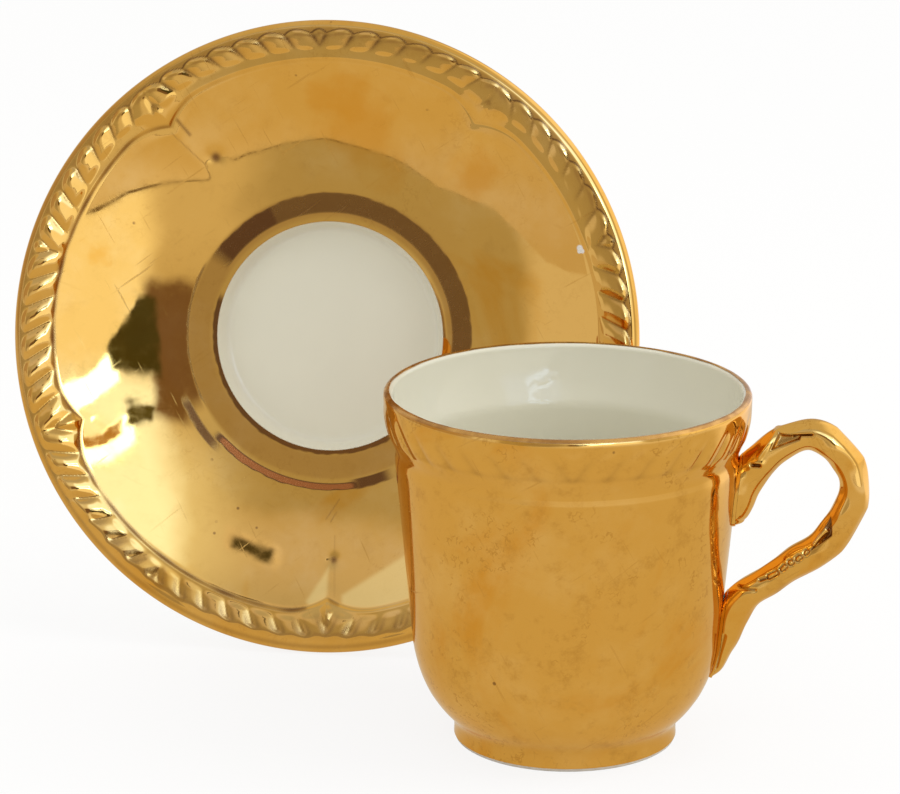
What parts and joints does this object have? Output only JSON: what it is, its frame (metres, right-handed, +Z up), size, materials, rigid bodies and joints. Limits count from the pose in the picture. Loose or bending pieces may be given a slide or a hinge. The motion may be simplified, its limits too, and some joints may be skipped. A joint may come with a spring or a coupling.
{
  "type": "demitasse cup and saucer",
  "caption": "Small gilded porcelain coffee cup with a branch-shaped loop handle, and its lobed, rope-bordered saucer with a white well, which leans back and tips down flat.",
  "frame": {"origin": "middle of the pair's footprint box, on the table top the cup stands on", "axes": "+Z up; +Y away from the viewer of the picture, from the cup towards the saucer; +X to the right, the way the handle points"},
  "size_m": [0.1512, 0.1048, 0.1127],
  "materials": {
    "porcelain": "gloss",
    "gilt": "polished",
    "lip_gilt": "gloss"
  },
  "bodies": {
    "cup": {"cup_bowl": "porcelain", "cup_foot_ring": "porcelain", "cup_gilding": "gilt", "lip_gilding": "lip_gilt", "cup_handle": "gilt", "handle_upper_slip": "gilt", "handle_lower_slip": "gilt"},
    "saucer": {"saucer_body": "porcelain", "saucer_gilding": "gilt"}
  },
  "joints": [
    {"name": "saucer_tip", "type": "hinge", "parent": "cup", "child": "saucer", "pos_m": [-0.01888, 0.02855, 0.0069], "axis": [-0.9899, 0.1416, 0], "range_deg": [0, 77.3]}
  ]
}
